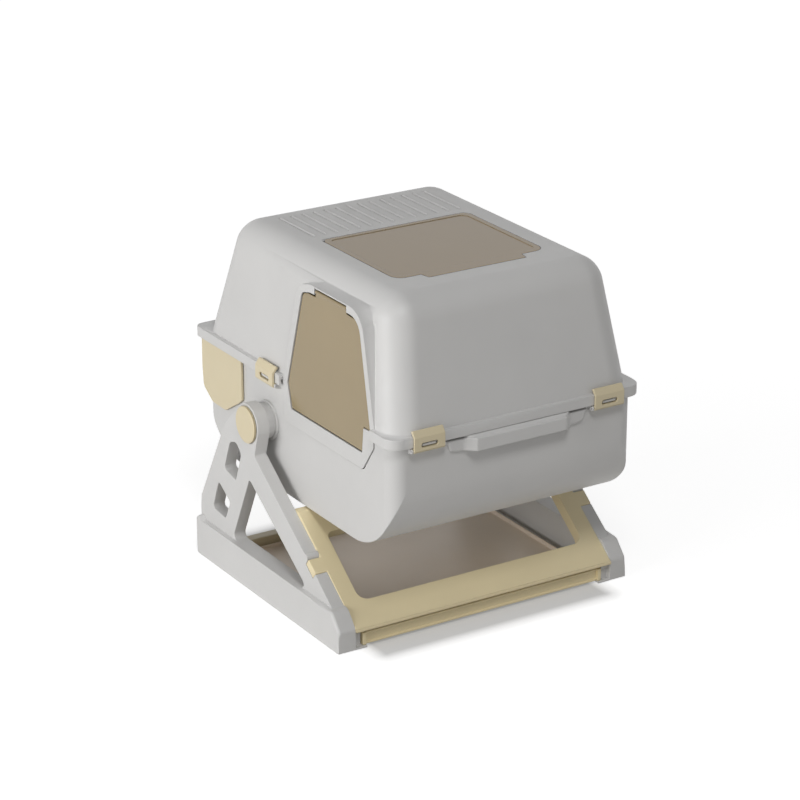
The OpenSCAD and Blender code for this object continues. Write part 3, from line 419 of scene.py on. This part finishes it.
BROW = [(76.5, 3.5, 0.15), (83.8, 7.6, 3.1), (90.5, 16.3, 3.1)]   # half width, back, up
BROW_SUNK = 0.6 * MM
BROW_SIDE_SLOPE = 1.5 * MM
BROW_EDGE = 0.0006


def handle_brow():
    """Sloping top of the front handle, from under the rim to the grip."""
    grip_low, grip_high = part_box("front_handle")
    b = bmesh.new()
    rings = []
    for half, back, up in BROW:
        y = grip_low[1] + back * MM
        top = grip_high[2] + up * MM
        low = grip_high[2] - BROW_SUNK
        rings.append([(-half * MM, y, low), (half * MM, y, low),
                      (half * MM - BROW_SIDE_SLOPE, y, top), (-half * MM + BROW_SIDE_SLOPE, y, top)])
    skin_over(b, rings)
    piece("handle_brow", b, white, "box", BROW_EDGE)


LATCH_OUT = 4.4 * MM        # from the outer face of a latch to the rim behind it
SLOT_UP = 10.7 * MM         # from the foot of a latch to the middle of its slot
CATCH_HALF = 9.4 * MM
CATCH_RADIUS = 1.7 * MM
CATCH_ROUND = 6             # steps of each round end
CATCH = [(-0.8, 1.0), (1.8, 1.0), (2.1, 0.85), (2.2, 0.6)]        # mm outward, share of the radius


def catch(b, name):
    """A round-ended bar behind the slot of one latch."""
    low, high = (Vector(p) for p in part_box(name))
    middle = (low + high) / 2
    size = high - low
    if size.x > size.y:
        along = Vector((1, 0, 0))
        out = Vector((0, -1 if middle.y < 0 else 1, 0))
        face = Vector((middle.x, low.y + LATCH_OUT if middle.y < 0 else high.y - LATCH_OUT, 0))
    else:
        along = Vector((0, 1, 0))
        out = Vector((-1 if middle.x < 0 else 1, 0, 0))
        face = Vector((low.x + LATCH_OUT if middle.x < 0 else high.x - LATCH_OUT, middle.y, 0))
    centre = face + Vector((0, 0, low.z + SLOT_UP))
    rings = []
    for depth, shrink in CATCH:
        ring = []
        for side in (1, -1):
            for k in range(CATCH_ROUND + 1):
                a = math.pi * (k / CATCH_ROUND - 0.5) + (0 if side > 0 else math.pi)
                r = CATCH_RADIUS * shrink
                ring.append(centre + along * (side * CATCH_HALF + r * math.cos(a))
                            + Vector((0, 0, r * math.sin(a))) + out * (depth * MM))
        rings.append(ring)
    skin_over(b, rings)


def latch_catches():
    """Catches on the rim of the hood, seen in the slots of the latches."""
    b = bmesh.new()
    for name in LATCHES:
        catch(b, name)
    piece("latch_catches", b, white, "hood_body")


TOP_BAND = 5e-5             # points this near the highest one belong to the top face
FACES_UP = 0.9              # upward share of the normal of a top face
# profile of the painted shadow in the gap round the window lid, in mm outward and up
GAP_SHADOW = [(-0.55, -0.12), (0.2, -0.12), (0.2, -0.8), (-0.55, -0.8)]
GAP_SHADOW_STOP = 2.5 * MM      # from the rear edge of the lid to the ends of the painted gap shadow


def outline(name):
    """The outer edge of the top face of a node, as a chain of points."""
    b = bmesh.new()
    b.from_mesh(nodes[name].data)
    bmesh.ops.remove_doubles(b, verts=b.verts, dist=WELD)
    top = max(v.co.z for v in b.verts)
    links = {}
    for e in b.edges:
        if all(v.co.z > top - TOP_BAND for v in e.verts) and len(e.link_faces) == 2:
            up = [f.normal.z > FACES_UP for f in e.link_faces]
            if up[0] != up[1]:
                for v, w in (e.verts, reversed(e.verts)):
                    links.setdefault(v, []).append(w)
    chains = []
    left = set(links)
    while left:
        ends = [v for v in left if len(links[v]) == 1]
        v = min(ends or left, key=lambda w: tuple(w.co))
        chain = []
        while v is not None:
            chain.append(v.co.copy())
            left.discard(v)
            v = next((w for w in links[v] if w in left), None)
        chains.append(chain)
    b.free()
    return max(chains, key=lambda c: max(p.x for p in c) - min(p.x for p in c))


def window_gap_painted_shadow():
    """Dark bead round the window lid, open at its hinge: painted shadow of the gap between lid and
    hood.
    """
    chain = [p for p in outline("window_lid") if p.y < lid_high[1] - GAP_SHADOW_STOP]
    centre = sum(chain, Vector()) / len(chain)
    rings = []
    for k, p in enumerate(chain):
        way = chain[min(k + 1, len(chain) - 1)] - chain[max(k - 1, 0)]
        out = Vector((way.y, -way.x, 0)).normalized()
        if k == 0:
            turn = 1 if out.dot(p - centre) > 0 else -1
        out *= turn
        rings.append([p + out * (side * MM) + Vector((0, 0, up * MM)) for side, up in GAP_SHADOW])
    b = bmesh.new()
    skin_over(b, rings)
    # rubber here is a painted shadow in the gap round the lid
    piece("window_gap_painted_shadow", b, rubber, "window")


HINGE_SHADOW = [(0.3, 0.5), (0.7, 0.5), (0.7, 3.8), (0.3, 3.8)]         # mm behind the lid, mm below the roof
HINGE_SHADOW_INSET = 17 * MM


def window_hinge_painted_shadow():
    """Dark strip on the hood, behind the hinge of the window lid: painted shadow of the gap there."""
    b = bmesh.new()
    rings = []
    for x in (lid_low[0] + HINGE_SHADOW_INSET, lid_high[0] - HINGE_SHADOW_INSET):
        rings.append([(x, lid_high[1] + back * MM, roof - down * MM) for back, down in HINGE_SHADOW])
    skin_over(b, rings)
    # rubber here is a painted shadow in the gap behind the lid
    piece("window_hinge_painted_shadow", b, rubber, "hood_body")


vent_lips()
handle_brow()
latch_catches()
window_gap_painted_shadow()
window_hinge_painted_shadow()


# ---------- floor, light, camera ----------
def seen_white(tree, surface, lift):
    """surface for the rays that carry light, and lift for the rays that look at the background."""
    ray = tree.nodes.new("ShaderNodeLightPath")
    looking = [ray.outputs[kind]
               for kind in ("Is Camera Ray", "Is Glossy Ray", "Is Transmission Ray")]
    total = looking[0]
    for extra in looking[1:]:
        either = tree.nodes.new("ShaderNodeMath")
        either.operation = "MAXIMUM"
        tree.links.new(total, either.inputs[0])
        tree.links.new(extra, either.inputs[1])
        total = either.outputs[0]
    mix = tree.nodes.new("ShaderNodeMixShader")
    tree.links.new(total, mix.inputs[0])
    tree.links.new(surface, mix.inputs[1])
    tree.links.new(lift, mix.inputs[2])
    return mix.outputs[0]


FLOOR_HALF = 40
# inside this box, under the object, the floor glow is low: a painted shadow
PAINTED_SHADOW_BOX = (0.19, 0.23, 0)
GLOW_REACH = 4              # metres from the footprint to the end of the ramp
# the lowest stop is the painted shadow under the object; the rise further out keeps the far floor
# white
GLOW_AND_PAINTED_SHADOW = [(0.0, 0.25), (0.006, 0.79), (0.4, 0.89), (0.9, 0.94)]


def floor_glow_painted_shadow(t):
    """Light of the floor itself: little under the object, a painted shadow there, and more with the
    distance from it.
    """
    last = t.nodes.new("ShaderNodeTexCoord").outputs["Object"]
    for operation, value in (("ABSOLUTE", None), ("SUBTRACT", PAINTED_SHADOW_BOX),
                             ("MAXIMUM", (0, 0, 0)), ("LENGTH", None)):
        step = t.nodes.new("ShaderNodeVectorMath")
        step.operation = operation
        t.links.new(last, step.inputs[0])
        if value:
            step.inputs[1].default_value = value
        last = step.outputs["Value" if operation == "LENGTH" else "Vector"]
    reach = t.nodes.new("ShaderNodeMath")
    reach.operation = "MULTIPLY"
    reach.inputs[1].default_value = 1 / GLOW_REACH
    t.links.new(last, reach.inputs[0])
    glow = node(t, "ShaderNodeEmission", Strength=1.0)
    t.links.new(ramp(t, reach.outputs[0], [(place, grey(v)) for place, v in GLOW_AND_PAINTED_SHADOW]),
                glow.inputs["Color"])
    return glow.outputs[0]


def plain_floor():
    mesh = bpy.data.meshes.new("floor")
    corners = [(x * FLOOR_HALF, y * FLOOR_HALF, 0) for x, y in ((-1, -1), (1, -1), (1, 1), (-1, 1))]
    mesh.from_pydata(corners, [], [(0, 1, 2, 3)])
    o = bpy.data.objects.new("floor", mesh)
    scene.collection.objects.link(o)
    m = bpy.data.materials.new("floor")
    m.use_nodes = True
    t = m.node_tree
    s = t.nodes["Principled BSDF"]
    s.inputs["Base Color"].default_value = (0.75, 0.74, 0.72, 1)
    s.inputs["Roughness"].default_value = 0.9
    s.inputs["Specular IOR Level"].default_value = 0.1
    paper = node(t, "ShaderNodeBsdfDiffuse", Color=(0.5, 0.5, 0.5, 1))
    both = t.nodes.new("ShaderNodeAddShader")
    t.links.new(paper.outputs[0], both.inputs[0])
    t.links.new(floor_glow_painted_shadow(t), both.inputs[1])
    t.links.new(seen_white(t, s.outputs[0], both.outputs[0]),
                t.nodes["Material Output"].inputs["Surface"])
    mesh.materials.append(m)


def studio_world(light, seen):
    """White surroundings: their light on the object, and how bright they look."""
    world = bpy.data.worlds.new("studio")
    scene.world = world
    world.use_nodes = True
    t = world.node_tree
    sky = t.nodes["Background"]
    sky.inputs["Color"].default_value = (1.0, 1.0, 1.0, 1)
    sky.inputs["Strength"].default_value = light
    plain = node(t, "ShaderNodeBackground", Color=(1, 1, 1, 1), Strength=seen)
    t.links.new(seen_white(t, sky.outputs[0], plain.outputs[0]),
                t.nodes["World Output"].inputs["Surface"])


def aimed(name, data, place, aim):
    """An object for a lamp or camera at place that is turned to look at aim."""
    o = bpy.data.objects.new(name, data)
    o.location = place
    o.rotation_euler = (Vector(aim) - o.location).to_track_quat("-Z", "Y").to_euler()
    scene.collection.objects.link(o)
    return o


def lamp(name, place, aim, size, power):
    data = bpy.data.lights.new(name, "AREA")
    data.shape = "RECTANGLE"
    data.size, data.size_y = size
    data.energy = power
    aimed(name, data, place, aim)


LAMP_AIM = (0, 0, 0.25)
plain_floor()
studio_world(light=0.18, seen=1.0)
lamp("key", place=(-3.2, -0.25, 1.0), aim=LAMP_AIM, size=(2.2, 1.6), power=57)
lamp("fill", place=(-0.9, -2.1, 3.2), aim=LAMP_AIM, size=(0.9, 0.9), power=34)

# the camera was fitted to the straight edges of the photo
eye = bpy.data.cameras.new("camera")
eye.sensor_width = 36
eye.lens = 133.28
eye.clip_end = 100
scene.camera = aimed("camera", eye, place=(-2.18645, -3.45452, 1.87146),
                     aim=(-0.0165, 0.0098, 0.2719))

scene.view_settings.view_transform = "Standard"
